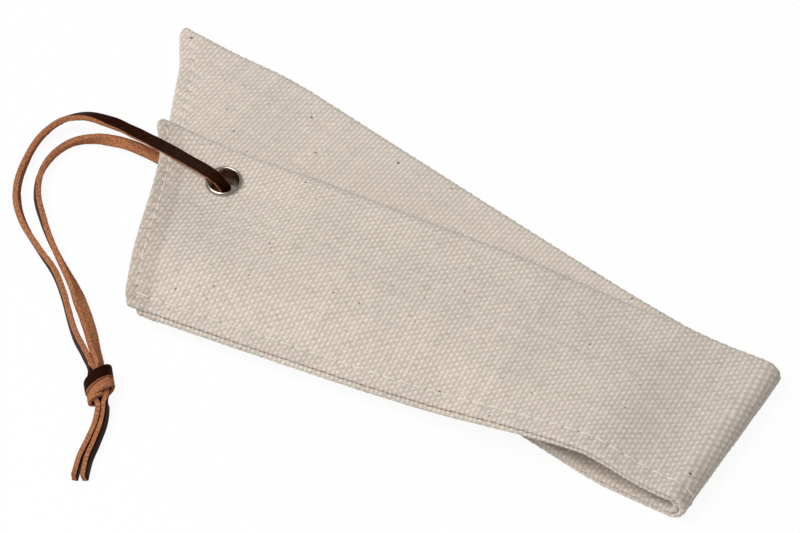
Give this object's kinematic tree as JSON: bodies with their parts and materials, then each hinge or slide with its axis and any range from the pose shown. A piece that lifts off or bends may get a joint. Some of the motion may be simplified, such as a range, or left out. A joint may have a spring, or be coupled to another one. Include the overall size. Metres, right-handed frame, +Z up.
{
  "type": "knife pouch",
  "caption": "Folded canvas pouch for a kitchen knife: a tapering cotton sleeve with a slanted open mouth and a closed tip, folded over on itself, with an eyelet and a knotted leather lace.",
  "frame": {"origin": "on the table, under the middle of the box of the cloth and the eyelet, without the lace", "axes": "+Z up from the table; +X along the folded pouch towards its fold; +Y along the crease, towards the sleeve's folded long edge"},
  "size_m": [0.224, 0.1485, 0.0157],
  "materials": {
    "canvas": "undyed heavy cotton canvas, plain weave with seed specks",
    "eyelet_metal": "nickel-plated, softly polished",
    "lace_leather": "flat leather lace, dark smooth grain side and raw tan flesh side"
  },
  "bodies": {
    "tip_half": {"canvas_tip_half": "canvas", "canvas_bend": "canvas"},
    "mouth_half": {"canvas_mouth_half": "canvas", "eyelet": "eyelet_metal", "eyelet_washer": "eyelet_metal"},
    "lace": {"lace_loop": "lace_leather", "lace_left_tail": "lace_leather", "lace_right_tail": "lace_leather", "lace_knot": "lace_leather"}
  },
  "joints": [
    {"name": "fold", "type": "hinge", "parent": "tip_half", "child": "mouth_half", "pos_m": [0.1059, 0, 0.0072], "axis": [0, 1, 0], "range_deg": [0, 180], "deforming": ["canvas_bend"]},
    {"name": "lace_swivel", "type": "hinge", "parent": "mouth_half", "child": "lace", "pos_m": [-0.05944, 0.00178, 0.0095], "axis": [0, 0, 1], "range_deg": [-20, 35]}
  ]
}
